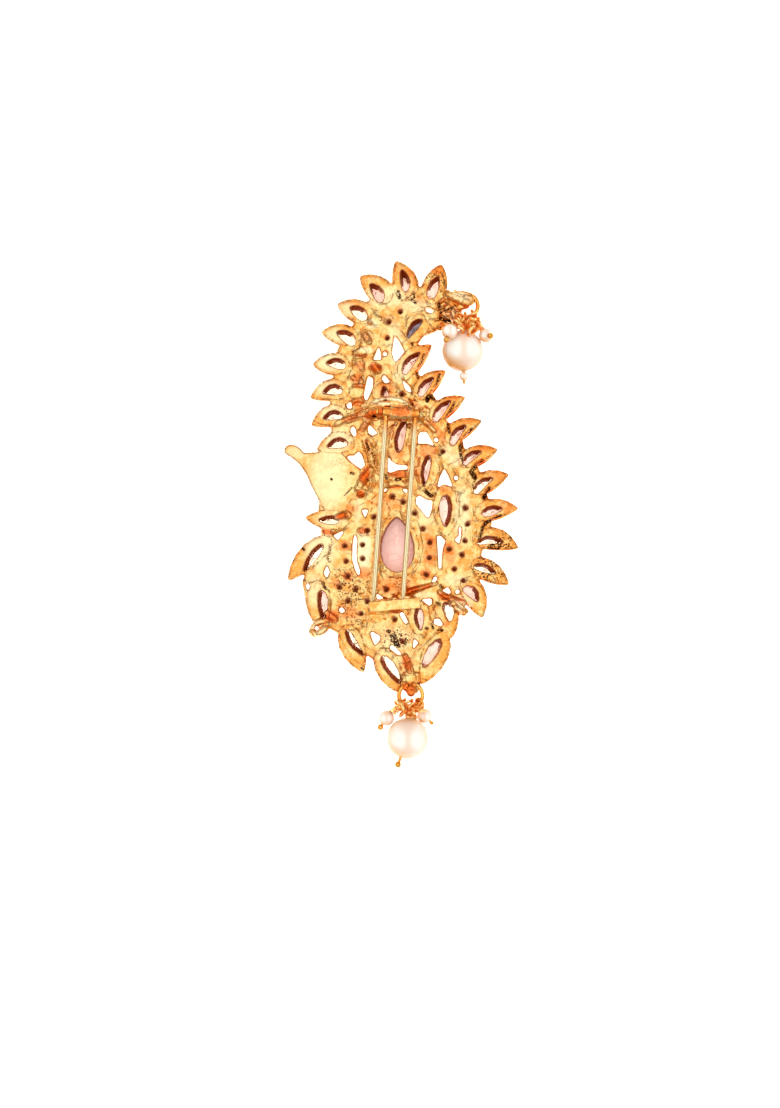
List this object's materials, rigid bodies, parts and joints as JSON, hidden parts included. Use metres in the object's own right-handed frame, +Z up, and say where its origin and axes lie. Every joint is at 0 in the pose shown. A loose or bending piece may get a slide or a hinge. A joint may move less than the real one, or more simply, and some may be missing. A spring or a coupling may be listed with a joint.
{
  "type": "turban brooch",
  "caption": "Openwork gilt turban brooch set with cut glass, lying face down, with a hinged double pin, a catch bar, thread loops and two pearl drops.",
  "frame": {"origin": "middle of the brooch's outline in plan, on the surface that it lies on", "axes": "+Z up, out of the brooch's back, because it lies face down; +Y from the lower drop to the crown leaf; +X to the right as the back is seen from above"},
  "size_m": [0.0453, 0.0977, 0.0094],
  "materials": {
    "gilt_casting": "gilded cast brass with a polished, slightly lumpy surface",
    "gilt_wire": "gilded drawn brass wire",
    "pin_wire": "pale gilded spring wire",
    "pink_glass": "cut glass, pale pink with a foiled look",
    "clear_glass": "cut glass, nearly colourless",
    "pearl": "faux pearl, cream with a soft lustre"
  },
  "bodies": {
    "brooch": {"casting": "gilt_casting", "stone_crown_1": "pink_glass", "stone_crown_2": "pink_glass", "stone_crown_3": "pink_glass", "stone_left_1": "clear_glass", "stone_left_2": "clear_glass", "stone_left_3": "clear_glass", "stone_left_4": "clear_glass", "stone_left_5": "clear_glass", "stone_left_6": "clear_glass", "stone_left_7": "pink_glass", "stone_left_8": "pink_glass", "stone_left_9": "pink_glass", "stone_foot_1": "pink_glass", "stone_foot_2": "pink_glass", "stone_foot_3": "pink_glass", "stone_foot_4": "pink_glass", "stone_right_1": "pink_glass", "stone_right_2": "pink_glass", "stone_right_3": "pink_glass", "stone_right_4": "pink_glass", "stone_right_5": "pink_glass", "stone_right_6": "pink_glass", "stone_right_7": "pink_glass", "stone_right_8": "pink_glass", "stone_right_9": "pink_glass", "stone_right_10": "pink_glass", "stone_hook_leaf": "pink_glass", "stone_bell": "pink_glass", "stone_flame": "pink_glass", "stone_comma": "pink_glass", "stone_ribbon": "pink_glass", "stone_lower_leaf": "pink_glass", "stone_middle": "pink_glass", "stones_halo": "pink_glass", "stones_stem": "pink_glass", "stones_bands": "pink_glass", "hinge_rod": "gilt_wire", "upper_jump_ring": "gilt_wire", "lower_jump_ring": "gilt_wire", "upper_pearl": "pearl", "upper_small_pearl_left": "pearl", "upper_small_pearl_right": "pearl", "lower_pearl": "pearl", "lower_small_pearl_left": "pearl", "lower_small_pearl_right": "pearl", "upper_end_pearl": "pearl", "upper_pearl_head_pin": "gilt_wire", "upper_small_pearl_left_head_pin": "gilt_wire", "upper_small_pearl_right_head_pin": "gilt_wire", "lower_pearl_head_pin": "gilt_wire", "lower_small_pearl_left_head_pin": "gilt_wire", "lower_small_pearl_right_head_pin": "gilt_wire"},
    "double_pin": {"double_pin": "pin_wire"}
  },
  "joints": [
    {"name": "pin_hinge", "type": "hinge", "parent": "brooch", "child": "double_pin", "pos_m": [-0.00014, 0.01943, 0.006], "axis": [-0.9977, 0.068, 0], "range_deg": [0, 75]}
  ]
}
